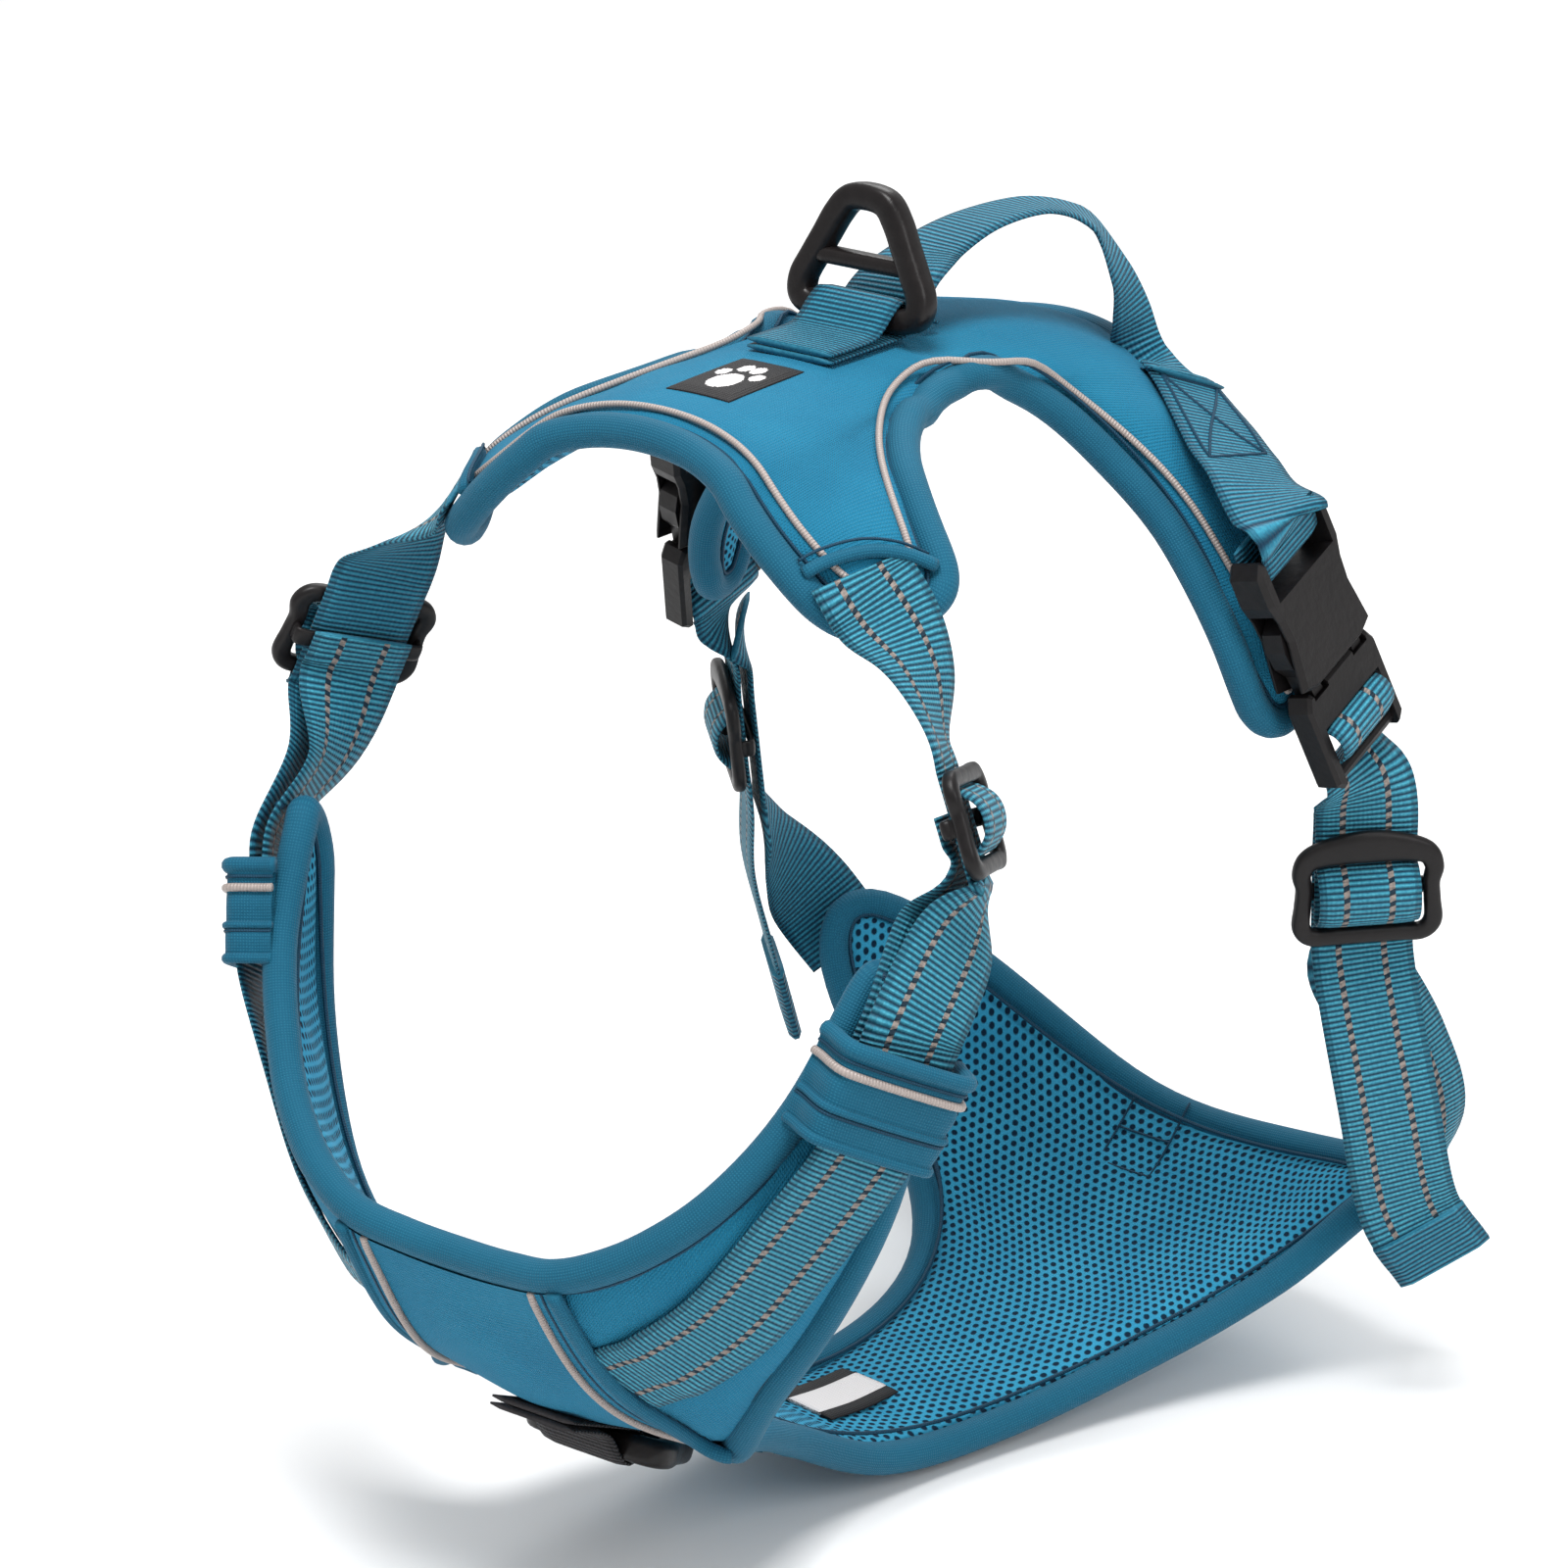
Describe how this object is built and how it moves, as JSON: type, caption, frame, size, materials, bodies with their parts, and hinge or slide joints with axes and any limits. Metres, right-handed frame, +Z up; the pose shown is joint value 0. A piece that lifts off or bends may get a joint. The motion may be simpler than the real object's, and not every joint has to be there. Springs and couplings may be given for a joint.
{
  "type": "no pull dog harness",
  "caption": "Padded dog harness in its worn shape with side-release buckles, a top handle, a leash ring on the back, a chest ring and sliding strap adjusters.",
  "frame": {"origin": "middle of the dog's torso inside the harness", "axes": "+X to the dog's left, +Y towards the tail, +Z up"},
  "size_m": [0.2333, 0.2839, 0.3166],
  "materials": {
    "outer_cloth": "matte",
    "mesh_lining": "matte",
    "foam": "matte",
    "binding": "satin",
    "webbing": "satin",
    "black_webbing": "matte",
    "patch": "satin",
    "label": "matte",
    "ring_metal": "satin",
    "buckle_plastic": "satin",
    "adjuster": "satin"
  },
  "bodies": {
    "harness": {"back_pad_cover": "outer_cloth", "back_pad_foam": "foam", "back_pad_lining": "mesh_lining", "back_pad_binding": "binding", "chest_pad_cover": "outer_cloth", "chest_pad_foam": "foam", "chest_pad_lining": "mesh_lining", "chest_pad_binding": "binding", "ring_tab": "webbing", "chest_ring_tab": "black_webbing", "back_patch": "patch", "care_label": "label", "handle": "webbing", "left_buckle_socket": "buckle_plastic", "left_rear_webbing": "webbing", "left_girth_strap": "webbing", "left_keeper": "outer_cloth", "left_neck_strap": "webbing", "left_neck_return": "webbing", "right_buckle_socket": "buckle_plastic", "right_rear_webbing": "webbing", "right_girth_strap": "webbing", "right_keeper": "outer_cloth", "right_neck_strap": "webbing", "right_neck_return": "webbing"},
    "leash_ring": {"leash_ring": "ring_metal"},
    "chest_ring": {"chest_ring": "ring_metal"},
    "left_plug": {"left_buckle_plug": "buckle_plastic", "left_girth_tail": "webbing"},
    "left_prong_front": {"left_prong_front": "buckle_plastic"},
    "left_prong_rear": {"left_prong_rear": "buckle_plastic"},
    "left_girth_adjuster": {"left_girth_adjuster": "adjuster"},
    "left_neck_adjuster": {"left_neck_adjuster": "adjuster"},
    "right_plug": {"right_buckle_plug": "buckle_plastic", "right_girth_tail": "webbing"},
    "right_prong_front": {"right_prong_front": "buckle_plastic"},
    "right_prong_rear": {"right_prong_rear": "buckle_plastic"},
    "right_girth_adjuster": {"right_girth_adjuster": "adjuster"},
    "right_neck_adjuster": {"right_neck_adjuster": "adjuster"}
  },
  "joints": [
    {"name": "leash_ring_swing", "type": "hinge", "parent": "harness", "child": "leash_ring", "pos_m": [0, 0.029, 0.1096], "axis": [1, 0, 0], "range_deg": [-32, 75]},
    {"name": "chest_ring_swing", "type": "hinge", "parent": "harness", "child": "chest_ring", "pos_m": [0, -0.074, -0.142], "axis": [-1, 0, 0], "range_deg": [0, 110]},
    {"name": "left_buckle_release", "type": "slide", "parent": "harness", "child": "left_plug", "axis": [0.2067, 0.3368, -0.9186], "range_m": [0, 0.022], "deforming": ["left_girth_strap"]},
    {"name": "left_prong_front_squeeze", "type": "hinge", "parent": "left_plug", "child": "left_prong_front", "pos_m": [0.09412, 0.08004, 0.02391], "axis": [-0.9756, 0, -0.2195], "range_deg": [0, 8], "stiffness_Nm_per_rad": 0.3},
    {"name": "left_prong_rear_squeeze", "type": "hinge", "parent": "left_plug", "child": "left_prong_rear", "pos_m": [0.0927, 0.09812, 0.03021], "axis": [0.9756, 0, 0.2195], "range_deg": [0, 8], "stiffness_Nm_per_rad": 0.3},
    {"name": "left_girth_adjust", "type": "slide", "parent": "left_plug", "child": "left_girth_adjuster", "axis": [0.0497, -0.0994, 0.9938], "range_m": [-0.005, 0.005]},
    {"name": "left_neck_adjust", "type": "slide", "parent": "harness", "child": "left_neck_adjuster", "axis": [-0.4098, 0.07, 0.9095], "range_m": [0, 0.003], "deforming": ["left_neck_return"]},
    {"name": "right_buckle_release", "type": "slide", "parent": "harness", "child": "right_plug", "axis": [-0.2067, 0.3368, -0.9186], "range_m": [0, 0.022], "deforming": ["right_girth_strap"]},
    {"name": "right_prong_front_squeeze", "type": "hinge", "parent": "right_plug", "child": "right_prong_front", "pos_m": [-0.0927, 0.09812, 0.03021], "axis": [0.9756, 0, -0.2195], "range_deg": [0, 8], "stiffness_Nm_per_rad": 0.3},
    {"name": "right_prong_rear_squeeze", "type": "hinge", "parent": "right_plug", "child": "right_prong_rear", "pos_m": [-0.09412, 0.08004, 0.02391], "axis": [-0.9756, 0, 0.2195], "range_deg": [0, 8], "stiffness_Nm_per_rad": 0.3},
    {"name": "right_girth_adjust", "type": "slide", "parent": "right_plug", "child": "right_girth_adjuster", "axis": [-0.0497, -0.0994, 0.9938], "range_m": [-0.005, 0.005]},
    {"name": "right_neck_adjust", "type": "slide", "parent": "harness", "child": "right_neck_adjuster", "axis": [0.4098, 0.07, 0.9095], "range_m": [0, 0.003], "deforming": ["right_neck_return"]}
  ]
}
